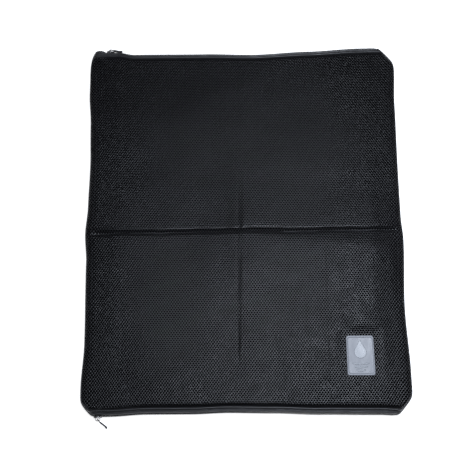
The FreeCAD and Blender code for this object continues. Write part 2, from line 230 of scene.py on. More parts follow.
def cut_lines():
    """Every cut across a corner with a short one at each end of it: signs, outward normal, distance."""
    lines = []
    for (side, edge), (mouth_x, side_y) in CORNER_CUTS.items():
        normal = np.array([HALF_Y - side_y, HALF_X - mouth_x])
        normal /= np.hypot(*normal)
        signs = np.array([SIDES[side], MOUTHS[edge][1]])
        mouth_end = np.array([mouth_x, HALF_Y])
        side_end = np.array([HALF_X, side_y])
        lines.append((signs, normal, normal @ mouth_end))
        for straight, end in (((0, 1), mouth_end), ((1, 0), side_end)):
            between = (normal + straight) / np.hypot(*(normal + straight))
            lines.append((signs, between, between @ end - 1.3))
    return lines


CUT_LINES = cut_lines()


def turn_corners(x, y, depth=0.0):
    """Rolls a plan over the cut corners: (x, y, share of height kept, distance past the cloth)."""
    kept = np.ones(np.broadcast(x, y).shape)
    past = np.full(kept.shape, -HALF_X)
    for signs, normal, far in CUT_LINES:
        distance = x * signs[0] * normal[0] + y * signs[1] * normal[1] - (far - CORNER_ROLL["out"])
        out, _, angle = roll(distance, CORNER_ROLL)
        move = np.where(distance > 0, out - distance, 0.0) + depth * np.sin(angle)
        x = x + signs[0] * normal[0] * move
        y = y + signs[1] * normal[1] * move
        kept = kept * np.cos(angle)
        past = np.maximum(past, distance - CORNER_ROLL["cloth"])
    return x, y, kept, past


def over_edges(u, v, depth):
    """Where cloth is after it has rolled over the side, the hem and the cut corners."""
    side_out, side_down, side_turn = roll(np.abs(u) - SIDE_ROLL["start"], SIDE_ROLL)
    hem_out, hem_down, hem_turn = roll(np.abs(v) - HEM_ROLL["start"], HEM_ROLL)
    x = np.minimum(np.abs(u), SIDE_ROLL["start"]) + side_out + depth * np.sin(side_turn)
    y = np.minimum(np.abs(v), HEM_ROLL["start"]) + hem_out + depth * np.sin(hem_turn)
    down = side_down + hem_down * np.cos(side_turn)
    upright = np.cos(side_turn) * np.cos(hem_turn)
    x, y, kept, past = turn_corners(np.copysign(x, u), np.copysign(y, v), depth)
    return x, y, down, upright, kept, past


def front_cloth(u, v, depth=0.0):
    """Place of a point of the front panel, from where it is on the cloth and how deep in it."""
    x, y, down, upright, kept, _ = over_edges(u, v, depth)
    level = TOP_Z - down + (relief(x, y) + depth) * upright
    return np.stack([*lie(x, y), MIDDLE_Z + (level - MIDDLE_Z) * kept], axis=-1)


def back_cloth(u, v, depth=0.0):
    """The same for the back panel, which lies flat on the surface and rolls up at its edges."""
    x, y, down, upright, kept, _ = over_edges(u, v, depth)
    level = 0.1 + down - depth * upright
    return np.stack([*lie(x, y), MIDDLE_Z + (level - MIDDLE_Z) * kept], axis=-1)


def cut_away(u, v):
    """True where the cloth has been cut off at a corner."""
    return over_edges(u, v, 0.0)[5] > 0


# ============================================================ meshes
def mesh_piece(name, points, faces, materials, material_index=None, flat=False):
    """Object from points in mm; its origin stays at the frame's origin."""
    mesh = bpy.data.meshes.new(name)
    points = np.asarray(points, float).reshape(-1, 3) * MM
    mesh.from_pydata(points.tolist(), [], [list(face) for face in faces])
    for material in materials:
        mesh.materials.append(material)
    if material_index is not None:
        mesh.polygons.foreach_set("material_index", np.asarray(material_index, np.int32))
    if not flat:
        mesh.polygons.foreach_set("use_smooth", np.ones(len(mesh.polygons), bool))
    mesh.update()
    piece = bpy.data.objects.new(name, mesh)
    bpy.context.scene.collection.objects.link(piece)
    return piece


def grid_faces(rows, columns, close_columns=False):
    """Four-cornered faces of a grid of points kept row by row."""
    faces = []
    last = columns if close_columns else columns - 1
    for i in range(rows - 1):
        for j in range(last):
            k = (j + 1) % columns
            faces.append((i * columns + j, i * columns + k, (i + 1) * columns + k, (i + 1) * columns + j))
    return faces


def grid_piece(name, points, materials, close_columns=False, ends=False, missing=None):
    """Sheet, or a tube when its columns close, from a rows x columns x 3 array."""
    rows, columns = points.shape[:2]
    faces = grid_faces(rows, columns, close_columns)
    if missing is not None:
        gone = missing.reshape(-1)
        faces = [face for face in faces if not any(gone[i] for i in face)]
    if ends:
        faces += end_caps(rows, columns)
    return mesh_piece(name, points, faces, materials)


def end_caps(rows, columns):
    """The two faces that close a tube kept as rings."""
    return [tuple(range(columns - 1, -1, -1)), tuple(range((rows - 1) * columns, rows * columns))]


def squarish(wave, power):
    """A sine or cosine made fuller, so that a circle drawn with it nears a rounded square."""
    return np.sign(wave) * np.abs(wave) ** power


def curve_through(points, steps):
    """Rounded line through a few points."""
    points = np.asarray(points, float)
    before = np.vstack([2 * points[0] - points[1], points, 2 * points[-1] - points[-2]])
    line = []
    for k in range(len(points) - 1):
        p0, p1, p2, p3 = before[k:k + 4]
        for t in np.arange(steps) / steps:
            bend = (2 * p0 - 5 * p1 + 4 * p2 - p3) * t * t + (3 * p1 - p0 - 3 * p2 + p3) * t ** 3
            line.append(p1 + 0.5 * ((p2 - p0) * t + bend))
    return np.array(line + [points[-1]])


def tube_rings(path, radius, sides, aside):
    """Rings round a path; aside is a direction that the path never runs along."""
    path = np.asarray(path, float)
    run = np.gradient(path, axis=0)
    run /= np.linalg.norm(run, axis=1, keepdims=True)
    first = np.cross(run, np.asarray(aside, float))
    first /= np.linalg.norm(first, axis=1, keepdims=True)
    second = np.cross(run, first)
    turn = np.arange(sides) * FULL / sides
    radius = np.broadcast_to(np.asarray(radius, float), len(path))
    spread = first[:, None] * np.cos(turn)[:, None] + second[:, None] * np.sin(turn)[:, None]
    return path[:, None] + spread * radius[:, None, None]


def ringed_piece(name, outline, rings, place, materials):
    """Closed plate: one outline repeated at (inset share, height), closed at top and bottom."""
    outline = np.asarray(outline, float)
    layers = []
    for share, height in rings:
        layer = np.column_stack([outline * share, np.full(len(outline), height)])
        layers.append(layer)
    points = np.concatenate(layers)
    count = len(outline)
    faces = grid_faces(len(rings), count, close_columns=True) + end_caps(len(rings), count)
    return mesh_piece(name, place(points), faces, materials)


def join_points(parts):
    """One point list and one face list from several."""
    points, faces, first = [], [], 0
    for part_points, part_faces in parts:
        part_points = np.asarray(part_points, float).reshape(-1, 3)
        points.append(part_points)
        faces += [tuple(first + i for i in face) for face in part_faces]
        first += len(part_points)
    return np.concatenate(points), faces


# ============================================================ materials
def new_material(name, color, roughness, **constants):
    """Principled material; constants are set on the shader's own sockets."""
    material = bpy.data.materials.new(name)
    material.use_nodes = True
    tree = material.node_tree
    shader = tree.nodes["Principled BSDF"]
    shader.inputs["Base Color"].default_value = (*color, 1)
    shader.inputs["Roughness"].default_value = roughness
    for socket, value in constants.items():
        shader.inputs[socket.replace("_", " ").title().replace("Ior", "IOR")].default_value = value
    where = tree.nodes.new("ShaderNodeTexCoord")
    return material, tree, shader, where.outputs["Object"]


def noise(tree, where, scale, detail=3.0, stretch=None):
    if stretch is not None:
        mapping = tree.nodes.new("ShaderNodeMapping")
        mapping.inputs["Scale"].default_value = stretch
        tree.links.new(where, mapping.inputs["Vector"])
        where = mapping.outputs["Vector"]
    node = tree.nodes.new("ShaderNodeTexNoise")
    node.inputs["Scale"].default_value = scale
    node.inputs["Detail"].default_value = detail
    tree.links.new(where, node.inputs["Vector"])
    return node.outputs["Fac"]


def waves(tree, where, scale, direction, distortion=0.4):
    node = tree.nodes.new("ShaderNodeTexWave")
    node.bands_direction = direction
    node.inputs["Scale"].default_value = scale
    node.inputs["Distortion"].default_value = distortion
    tree.links.new(where, node.inputs["Vector"])
    return node.outputs["Fac"]


def ramp(tree, value, stops):
    node = tree.nodes.new("ShaderNodeValToRGB")
    while len(node.color_ramp.elements) < len(stops):
        node.color_ramp.elements.new(0.5)
    for element, (place, color) in zip(node.color_ramp.elements, stops):
        element.position = place
        element.color = (*color, 1)
    tree.links.new(value, node.inputs["Fac"])
    return node.outputs["Color"]


def spread(tree, value, low, high):
    node = tree.nodes.new("ShaderNodeMapRange")
    node.inputs["From Min"].default_value = 0.3
    node.inputs["From Max"].default_value = 0.7
    node.inputs["To Min"].default_value = low
    node.inputs["To Max"].default_value = high
    tree.links.new(value, node.inputs["Value"])
    return node.outputs["Result"]


def mixed(tree, first, second, share=0.5, mode="MIX"):
    node = tree.nodes.new("ShaderNodeMix")
    node.data_type = "RGBA"
    node.blend_type = mode
    node.inputs["Factor"].default_value = share
    tree.links.new(first, node.inputs[6])
    tree.links.new(second, node.inputs[7])
    return node.outputs[2]


def bumped(tree, shader, height, strength, distance):
    node = tree.nodes.new("ShaderNodeBump")
    node.inputs["Strength"].default_value = strength
    node.inputs["Distance"].default_value = distance
    tree.links.new(height, node.inputs["Height"])
    tree.links.new(node.outputs["Normal"], shader.inputs["Normal"])


def grey(value, blue=1.16):
    return (value, value, value * blue)


def fabric(name, tone, roughness, yarn, bump, gloss=0.3, ribs=None):
    """Dyed cloth: slow changes of tone, the grain of its yarns, and dust in its roughness."""
    material, tree, shader, where = new_material(
        name, grey(tone), roughness, sheen_weight=0.02, sheen_roughness=0.5, specular_ior_level=gloss
    )
    slow = ramp(tree, noise(tree, where, 7.0), ((0.3, grey(tone * 0.78)), (0.7, grey(tone * 1.22))))
    grain = noise(tree, where, yarn, 2.0)
    fine = ramp(tree, grain, ((0.3, (0.72, 0.72, 0.72)), (0.7, (1.0, 1.0, 1.0))))
    tree.links.new(mixed(tree, slow, fine, 1.0, "MULTIPLY"), shader.inputs["Base Color"])
    rough = spread(tree, noise(tree, where, 60.0), roughness - 0.08, roughness + 0.1)
    tree.links.new(rough, shader.inputs["Roughness"])
    height = grain if ribs is None else waves(tree, where, ribs[0], ribs[1])
    bumped(tree, shader, height, bump, 0.0002)
    return material


def metal(name, color, roughness, worn):
    """Plated or enamelled casting with rubbed marks."""
    material, tree, shader, where = new_material(name, color, roughness, metallic=1.0)
    marks = noise(tree, where, 900.0, 4.0)
    tone = ramp(tree, marks, ((0.35, color), (0.75, worn)))
    tree.links.new(tone, shader.inputs["Base Color"])
    rough = spread(tree, noise(tree, where, 420.0), roughness * 0.75, roughness * 1.5)
    tree.links.new(rough, shader.inputs["Roughness"])
    bumped(tree, shader, marks, 0.12, 0.00005)
    return material


def moulded(name, color, roughness, grain=1600.0):
    """Soft moulded plastic with a fine satin grain and faint scuffs."""
    material, tree, shader, where = new_material(name, color, roughness, specular_ior_level=0.5)
    scuffs = noise(tree, where, 120.0, 5.0, stretch=(1.0, 0.35, 1.0))
    darker = tuple(c * 0.86 for c in color)
    lighter = tuple(min(1.0, c * 1.1) for c in color)
    tree.links.new(ramp(tree, scuffs, ((0.3, darker), (0.7, lighter))), shader.inputs["Base Color"])
    fine = noise(tree, where, grain, 2.0)
    rough = spread(tree, scuffs, roughness - 0.07, roughness + 0.1)
    tree.links.new(rough, shader.inputs["Roughness"])
    bumped(tree, shader, fine, 0.18, 0.00008)
    return material


MESH_STRAND = fabric("mesh_strand", 0.013, 0.37, 2600.0, 0.06, gloss=0.64)
# Near-black hole walls and floors: painted shade in the deep holes of the mesh, not a darker dye.
MESH_HOLE_SHADE = fabric("mesh_hole_painted_shade", 0.0012, 0.9, 2600.0, 0.3, gloss=0.02)
LINING = fabric("mesh_lining", 0.012, 0.75, 1500.0, 0.5)
DIVIDER_NET = fabric("divider_net", 0.014, 0.7, 1800.0, 0.6)
TAPE = fabric("zipper_tape", 0.007, 0.45, 2200.0, 0.16, gloss=0.5, ribs=(520.0, "Y"))
THREAD = fabric("sewing_thread", 0.018, 0.5, 3000.0, 0.4, gloss=0.4)
COIL = moulded("coil_nylon", (0.010, 0.010, 0.012), 0.32, 2400.0)
NICKEL = metal("slider_nickel", (0.34, 0.33, 0.32), 0.26, (0.18, 0.17, 0.17))
BLACK_PULL = moulded("pull_black_enamel", (0.008, 0.008, 0.009), 0.45, 1400.0)
STOP_METAL = metal("stop_aluminium", (0.42, 0.42, 0.43), 0.35, (0.3, 0.3, 0.3))
BADGE_GREY = moulded("badge_satin_grey", (0.185, 0.195, 0.215), 0.42)
BADGE_RAISED = moulded("badge_raised_grey", (0.27, 0.285, 0.305), 0.38)


# ============================================================ riding with a body, and baked in place
def finish_piece(piece, body, nodes=()):
    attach(piece, body)
    if nodes:
        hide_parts(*nodes)
    return piece


def bend_piece(piece, nodes=()):
    """Piece baked in place where it lies, with the CAD nodes it replaces hidden."""
    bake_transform(piece)
    if nodes:
        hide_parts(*nodes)
    return piece


# ============================================================ spacer-mesh panels
def hexagon():
    """Corners of the cell round one hole of the offset mesh."""
    tall = (CELL_X ** 2 + CELL_Y ** 2) / (4 * CELL_Y)
    low = ((CELL_X ** 2 + CELL_Y ** 2) / 8 - CELL_X ** 2 / 4) / (CELL_Y / 2)
    half = CELL_X / 2
    return np.array([(0, tall), (-half, low), (-half, -low), (0, -tall), (half, -low), (half, low)])


def mesh_lattice(name, cloth, span_u, span_v, rings):
    """Knitted spacer mesh: raised strands round rows of offset holes, one cell per hole; the walls and
    floors of the holes are painted near-black as shade.
    """
    half_row = CELL_Y / 2
    centres = []
    for row in range(math.floor(span_v[0] / half_row) - 1, math.ceil(span_v[1] / half_row) + 2):
        shift = 0.5 * (row % 2)
        v = row * half_row
        if not span_v[0] <= v < span_v[1]:
            continue
        first = math.floor(span_u[0] / CELL_X) - 1
        last = math.ceil(span_u[1] / CELL_X) + 2
        u = (np.arange(first, last) + shift) * CELL_X
        u = u[(u >= span_u[0]) & (u < span_u[1])]
        centres.append(np.column_stack([u, np.full(len(u), v)]))
    centres = np.concatenate(centres)
    centres = centres[~cut_away(centres[:, 0], centres[:, 1])]
    corners = hexagon()
    cells = len(centres)
    crest = centres[:, None] + corners
    keys = np.round(crest.reshape(-1, 2) * 100).astype(np.int64)
    _, first_use, crest_index = np.unique(keys, axis=0, return_index=True, return_inverse=True)
    crest_flat = crest.reshape(-1, 2)[first_use]
    crest_rough = 0.03 * (speckle(crest_flat[:, 0], crest_flat[:, 1], 1) - 0.5)
    layers = [cloth(crest_flat[:, 0], crest_flat[:, 1], crest_rough)]
    index = [crest_index.reshape(cells, 6)]
    total = len(crest_flat)
    open_share = 1 - 0.28 * squashed(centres[:, 0], centres[:, 1])
    size = (0.97 + 0.06 * speckle(centres[:, 0], centres[:, 1], 2)) * open_share
    stagger = 0.06 * (np.column_stack([
        speckle(centres[:, 0], centres[:, 1], 3), speckle(centres[:, 0], centres[:, 1], 4)
    ]) - 0.5)
    taller = np.array([1.0, HOLE_STRETCH])
    for number, (share, depth) in enumerate(rings[1:]):
        stretch = taller if number else np.ones(2)
        near_hole = min(number, 1)
        ring = centres[:, None] + (corners * share * stretch) * size[:, None, None] ** near_hole
        ring = ring + stagger[:, None] * (number + 1) / len(rings)
        ring = ring.reshape(-1, 2)
        layers.append(cloth(ring[:, 0], ring[:, 1], depth * np.repeat(open_share, 6)))
        index.append(total + np.arange(cells * 6).reshape(cells, 6))
        total += cells * 6
    faces = []
    tone = []
    for level, (outer, inner) in enumerate(zip(index[:-1], index[1:])):
        for k in range(6):
            n = (k + 1) % 6
            quads = np.column_stack([outer[:, k], outer[:, n], inner[:, n], inner[:, k]])
            faces.append(quads)
            # Faces deep in a hole get material 1, the painted shade.
            tone.append(np.full(cells, 0 if rings[level + 1][0] > STRAND_SHARE else 1))
    quads = np.concatenate(faces)
    floor = index[-1]
    points = np.concatenate(layers)
    if cloth is back_cloth:
        quads = quads[:, ::-1]
        floor = floor[:, ::-1]
    polygons = quads.tolist() + floor.tolist()
    # The hole floors take the painted shade as well.
    strand_or_shade = np.concatenate(tone + [np.ones(cells)])
    return mesh_piece(name, points, polygons, [MESH_STRAND, MESH_HOLE_SHADE], strand_or_shade)


def panel_edges():
    """Half the width and height of a panel as cut, on the cloth."""
    wide = SIDE_ROLL["start"] + SIDE_ROLL["cloth"]
    tall = HEM_ROLL["start"] + HEM_ROLL["cloth"]
    return wide, tall


def column_spans():
    wide = panel_edges()[0]
    edges = np.linspace(-wide, wide, MESH_COLUMNS + 1)
    return list(zip(edges[:-1], edges[1:]))


def make_front_panel():
    tall = panel_edges()[1]
    for mouth, up in MOUTHS.values():
        half = "upper" if up > 0 else "lower"
        span_v = (CREASE_Y, tall) if up > 0 else (-tall, CREASE_Y)
        for number, span_u in enumerate(column_spans()):
            name = f"front_mesh_{half}_{number + 1}"
            piece = mesh_lattice(name, front_cloth, span_u, span_v, FRONT_RINGS)
            side = 1 if sum(span_u) > 0 else -1
            bend_piece(piece, (f"front_panel_{half}", "front_panel_sides"))
        for side_name, side in SIDES.items():
            make_lining(f"front_lining_{half}_{side_name}", front_cloth, span_v, side, mouth)


def make_back_panel():
    tall = panel_edges()[1]
    for number, span_u in enumerate(column_spans()):
        for half, span_v in (("upper", (CREASE_Y, tall)), ("lower", (-tall, CREASE_Y))):
            name = "back_mesh_1" if (number, half) == (0, "upper") else f"back_mesh_{half}_{number + 1}"
            piece = mesh_lattice(name, back_cloth, span_u, span_v, BACK_RINGS)
            finish_piece(piece, "bag", ("back_panel",))
    make_lining("back_lining", back_cloth, (-tall, tall), 0, None)


def make_lining(name, cloth, span_v, side, mouth):
    """Inner face of a panel: a closer knit, on the side that the laundry touches."""
    wide = SIDE_ROLL["start"] + 3.0
    reach = HEM_Y - 4.0
    span_v = (max(span_v[0], -reach), min(span_v[1], reach))
    span_u = (-wide, wide) if not side else ((0, wide) if side > 0 else (-wide, 0))
    u = np.linspace(*span_u, 60 if side else 119)
    v = np.linspace(*span_v, 60 if side else 119)
    v_grid, u_grid = np.meshgrid(v, u, indexing="ij")
    points = cloth(u_grid, v_grid, -WALL + 0.2)
    piece = grid_piece(name, points, [LINING], missing=cut_away(u_grid, v_grid))
    if mouth:
        bend_piece(piece)
    else:
        finish_piece(piece, "bag")


def make_divider():
    """Thin net between the compartments, low at the top zipper and high at the bottom one."""
    low, high = cad("divider_fixed")
    slope = (high[2] - low[2] - 0.8) / (high[1] - low[1])
    wide = high[0] - 2.0
    reach = HEM_ROLL["start"] - 3.0
    for name, span_u, span_v, body in (
        ("divider_upper", (-wide, wide), (CREASE_Y, reach), "bag"),
        ("divider_lower_left", (-wide, 0), (-reach, CREASE_Y), "lower_mouth"),
        ("divider_lower_right", (0, wide), (-reach, CREASE_Y), "lower_mouth"),
    ):
        u = np.linspace(*span_u, 80)
        v = np.linspace(*span_v, 80)
        v_grid, u_grid = np.meshgrid(v, u, indexing="ij")
        x, y = lie(u_grid, v_grid)
        under_front = front_cloth(u_grid, v_grid, -WALL - 1.2)[..., 2]
        slanting = MIDDLE_Z - slope * v_grid + 0.5 * ripple(u_grid, v_grid, 5.5, 120.0)
        z = np.maximum(np.minimum(slanting, under_front), WALL + 0.6)
        piece = grid_piece(name, np.stack([x, y, z], axis=-1), [DIVIDER_NET])
        if body == "bag":
            finish_piece(piece, "bag", ("divider_fixed",))
        else:
            bend_piece(piece, ("divider_flap",))


# ============================================================ zippers
TAPE_PROFILE = ((280.0, 10.4), (286.4, 11.2), (288.2, 12.9), (289.3, 14.9), (290.3, 16.1), (291.4, 16.5),
                (292.5, 16.1), (293.3, 15.0), (293.9, 14.7), (294.6, 15.1), (295.5, 15.5), (296.5, 15.1),
                (297.3, 14.0), (297.8, 12.4), (298.0, 10.9), (298.0, 9.7))
COIL_PITCH = 1.5
COIL_WIRE = 0.36
STEPS_ROUND = 12


def edge_point(x, y, z, up):
    """Point of the zippered edge, drawn in with the cloth; y counts outwards from the middle."""
    x, y, kept, _ = turn_corners(x, up * y)
    return np.stack([*lie(x, y), MIDDLE_Z + (z - MIDDLE_Z) * kept], axis=-1)


def make_tape(name, up, front, span_x):
    """Woven tape: out from under the hem in a soft ridge, over the edge and down to the coil."""
    x = np.linspace(*span_x, max(12, int(abs(span_x[1] - span_x[0]) / 2.5)))
    profile = curve_through(TAPE_PROFILE, 3)
    y_grid = np.broadcast_to(profile[:, 0], (len(x), len(profile)))
    x_grid = np.broadcast_to(x[:, None], y_grid.shape)
    lift = 0.25 * ripple(x, x * 0.3, 3.3 + up, 34.0)[:, None]
    loose = bell(profile[:, 0] - 294.0, 3.0)
    z_grid = profile[:, 1] + lift * loose
    if not front:
        z_grid = TOP_Z - z_grid
    points = edge_point(x_grid, y_grid, z_grid, up)
    missing = turn_corners(x_grid, up * y_grid)[3] > 0
    piece = grid_piece(name, points, [TAPE], missing=missing)
    return piece


def coil_path(span_x, front, phase):
    turns = (span_x[1] - span_x[0]) / COIL_PITCH
    steps = int(turns * STEPS_ROUND)
    turn = np.linspace(0, FULL * turns, steps) + phase
    x = span_x[0] + COIL_PITCH * (turn - phase) / FULL
    y = (COIL_Y + HALF_Y) / 2 + 0.78 * np.cos(turn)
    reach = 1.45 * np.sin(turn)
    z = MIDDLE_Z + 1.35 + reach if front else MIDDLE_Z - 1.35 - reach
    return x, y, z


def make_coil(name, up, front, span_x):
    """Nylon line wound round and round, its turns meshing with those of the other half."""
    phase = 0.0 if front else math.pi
    x, y, z = coil_path(span_x, front, phase)
    rings = tube_rings(np.column_stack([x, y, z]), COIL_WIRE, 6, (1, 0, 0))
    points = edge_point(rings[..., 0], rings[..., 1], rings[..., 2], up)
    return grid_piece(name, points, [COIL], close_columns=True, ends=True)


def stitch_row(name, spots, run, lift, length, radius):
    """Row of short thread stitches; spots are their middles and run their directions."""
    along = np.linspace(-0.5, 0.5, 6)
    parts = []
    for spot, way in zip(spots, run):
        arch = radius * 1.2 * (1 - (2 * along) ** 2)
        path = spot + np.outer(along * length, way) + np.outer(arch, lift)
        width = radius * np.sqrt(np.clip(1.05 - (2 * along) ** 4, 0.05, 1))
        rings = tube_rings(path, width, 6, lift)
        parts.append((rings, grid_faces(6, 6, close_columns=True) + end_caps(6, 6)))
    points, faces = join_points(parts)
    return mesh_piece(name, points, faces, [THREAD])


def hem_stitches(name, cloth, up, span_x, front):
    """Stitches along the turned edge of a panel, just inside its fold."""
    count = int((span_x[1] - span_x[0]) / 3.2)
    x = span_x[0] + (np.arange(count) + 0.5) * (span_x[1] - span_x[0]) / count
    v = np.full(count, up * (HEM_ROLL["start"] + (0.6 if front else 3.4)))
    inside = ~cut_away(x * 1.01, v * 1.01)
    x, v = x[inside], v[inside]
    spots = cloth(x, v, 0.15)
    ahead = cloth(x + 0.5, v, 0.15)
    run = ahead - spots
    run /= np.linalg.norm(run, axis=1, keepdims=True)
    lift = (0, 0, 1) if front else (0, 0, -1)
    return stitch_row(name, spots, run, np.array(lift, float), 2.4, 0.32)


def make_zipper(edge):
    mouth, up = MOUTHS[edge]
    for side_name, side in SIDES.items():
        tape_span = (0, HALF_X - 3) if side > 0 else (-HALF_X + 3, 0)
        coil_span = (0, COIL_HALF_X) if side > 0 else (-COIL_HALF_X, 0)
        tape = make_tape(f"{edge}_front_tape_{side_name}", up, True, tape_span)
        bend_piece(tape, (f"{edge}_front_tape", f"{edge}_front_tape_ends"))
        coil = make_coil(f"{edge}_front_coil_{side_name}", up, True, coil_span)
        bend_piece(coil, (f"{edge}_front_coil", f"{edge}_front_coil_ends"))
        stitch_span = (0, HALF_X - 16) if side > 0 else (-HALF_X + 16, 0)
        name = f"{edge}_front_stitches_{side_name}"
        bend_piece(hem_stitches(name, front_cloth, up, stitch_span, True))
    back_tape = make_tape(f"{edge}_back_tape_woven", up, False, (-HALF_X + 3, HALF_X - 3))
    finish_piece(back_tape, "bag", (f"{edge}_back_tape",))
    back_coil = make_coil(f"{edge}_back_coil_wound", up, False, (-COIL_HALF_X, COIL_HALF_X))
    finish_piece(back_coil, "bag", (f"{edge}_back_coil",))
    stitches = hem_stitches(f"{edge}_back_stitches", back_cloth, up, (-HALF_X + 16, HALF_X - 16), False)
    finish_piece(stitches, "bag")


def make_corner(edge, side_name):
    """Raw edge of a cut corner: panels and tape ends folded in together and sewn down."""
    up = MOUTHS[edge][1]
    side = SIDES[side_name]
    mouth_x, side_y = CORNER_CUTS[(side_name, edge)]
    rows, columns = 40, 20
    along = np.linspace(-0.18, 1.0, rows)
    share = np.linspace(0, 1, rows)
    round_it = np.arange(columns) * FULL / columns
    cut = np.array([HALF_X - mouth_x, side_y - HALF_Y])
    inwards = np.array([cut[1], -cut[0]]) / np.hypot(*cut)
    path = np.array([mouth_x, HALF_Y]) + np.outer(along, cut) + 2.6 * inwards
    path[:, 1] = np.minimum(path[:, 1], HALF_Y - 2.8)
    swell = np.sin(np.clip(share * 0.94 + 0.03, 0, 1) * math.pi) ** 0.45 * (1 - 0.30 * share)
    pleat = 1 + 0.07 * np.sin(share * 26.0 + side) + 0.04 * np.sin(share * 57.0)
    fold = 1 + 0.10 * np.sin(3 * round_it + 1.0) + 0.05 * np.sin(7 * round_it + 2.0)
    out = (2.5 * swell * pleat)[:, None] * np.cos(round_it) * fold
    z = MIDDLE_Z + (5.9 * swell)[:, None] * np.sin(round_it) * fold
    x = side * (path[:, :1] - inwards[0] * out)
    y = up * (path[:, 1:] - inwards[1] * out)
    points = np.stack([*lie(x, y), z], axis=-1)
    piece = grid_piece(f"{edge}_{side_name}_corner_fold", points, [TAPE], close_columns=True, ends=True)
    return finish_piece(piece, "bag", (f"{edge}_corner_tabs",))


def make_stops(edge):
    """Crimped metal stops at both ends of a chain."""
    up = MOUTHS[edge][1]
    low, high = cad(f"{edge}_chain_stops")
    parts = []
    for side in (-1, 1):
        centre = side * (abs(low[0]) + abs(high[0])) / 2 - side * 1.4
        outline = rounded_outline(1.3, 3.2, 0.6, 6, 0)
        for level, height in ((296.9, 1.0), (299.2, 1.0)):
            rings = []
            for share, rise in ((0.86, 0.0), (1.0, 0.2), (1.0, height - 0.2), (0.86, height)):
                ring = outline * share
                rings.append(edge_point(centre + ring[:, 0], np.full(len(ring), level + rise),
                                        MIDDLE_Z + ring[:, 1], up))
            count = len(outline)
            parts.append((np.array(rings), grid_faces(4, count, True) + end_caps(4, count)))
    piece = mesh_piece(f"{edge}_crimped_stops", *join_points(parts), [STOP_METAL])
    return finish_piece(piece, "bag", (f"{edge}_chain_stops",))


def make_tape_hump():
    """End of the top zipper's tape, pushed up in a hump between the slider and the corner."""
    rows, columns = 40, 22
    share = np.linspace(0, 1, rows)
    round_it = np.arange(columns) * FULL / columns
    swell = np.sin(np.clip(share * 0.94 + 0.03, 0, 1) * math.pi) ** 0.5
    wrinkle = 1 + 0.06 * np.sin(share * 34.0)[:, None] * (1 + np.cos(round_it))
    y = 299.0 + (3.4 * swell)[:, None] * np.cos(round_it) * wrinkle
    z = MIDDLE_Z + 1.2 + (4.8 * swell)[:, None] * np.sin(round_it) * wrinkle
    x = np.broadcast_to((-243.0 + 16.5 * share)[:, None], y.shape)
    piece = grid_piece("top_tape_end_hump", np.stack([*lie(x, y), z], axis=-1), [TAPE],
                       close_columns=True, ends=True)
    return finish_piece(piece, "bag")


# ============================================================ side seams
def make_side_seam(side_name):
    """Rolled line where the two panels meet, bound over with thread."""
    side = SIDES[side_name]
    reach = {edge: CORNER_CUTS[(side_name, edge)][0] - 2 for edge in MOUTHS}
    corner_path = [(reach["bottom"], -HALF_Y + 1), (HALF_X - 0.2, -HALF_Y + 1),
                   (HALF_X - 0.2, HALF_Y - 1), (reach["top"], HALF_Y - 1)]
    path = []
    for start, end in zip(corner_path[:-1], corner_path[1:]):
        steps = int(math.dist(start, end) / 0.65)
        path += [np.array(start) + (np.array(end) - start) * k / steps for k in range(steps)]
    path = np.array(path)
    x, y, _, _ = turn_corners(side * path[:, 0], path[:, 1])
    lying_x, lying_y = lie(x, y)
    z = MIDDLE_Z + 0.4 * ripple(y, y * 0.2, 6.1 + side, 60.0)
    radius = 0.95 + 0.22 * np.abs(np.sin(FULL * np.arange(len(y)) / 7.1))
    rings = tube_rings(np.column_stack([lying_x, lying_y, z]), radius, 10, (0, 0, 1))
    piece = grid_piece(f"{side_name}_seam_line", rings, [TAPE], close_columns=True, ends=True)
    finish_piece(piece, "bag", (f"{side_name}_side_seam",))
    count = 180
    v = np.linspace(-262, 262, count)
    u = np.full(count, side * (SIDE_ROLL["start"] + 4.5))
    spots = front_cloth(u, v, 0.1)
    run = front_cloth(u, v + 0.5, 0.1) - spots
    run /= np.linalg.norm(run, axis=1, keepdims=True)
    row = stitch_row(f"{side_name}_seam_stitches", spots, run, np.array([side * 0.3, 0, 0.95]), 2.1, 0.28)
    finish_piece(row, "bag")


# ============================================================ sliders and pulls
def slider_outline(half_length, shoulder, tail, count=48):
    """Shield shape: wide round shoulders, narrower tail."""
    turn = np.arange(count) * FULL / count
    across = squarish(np.sin(turn), 0.55)
    along = squarish(np.cos(turn), 0.65)
    width = shoulder + (tail - shoulder) * smooth((along + 0.3) / 1.1)
    return np.column_stack([along * half_length, across * width])


def slider_place(centre_x, up, level):
    """From plate coordinates (along, across, outwards) to the slider's place."""
    def place(points):
        x = centre_x + points[:, 0]
        y = up * (level + points[:, 2])
        z = MIDDLE_Z + points[:, 1]
        return np.column_stack([x, y, z])
    return place


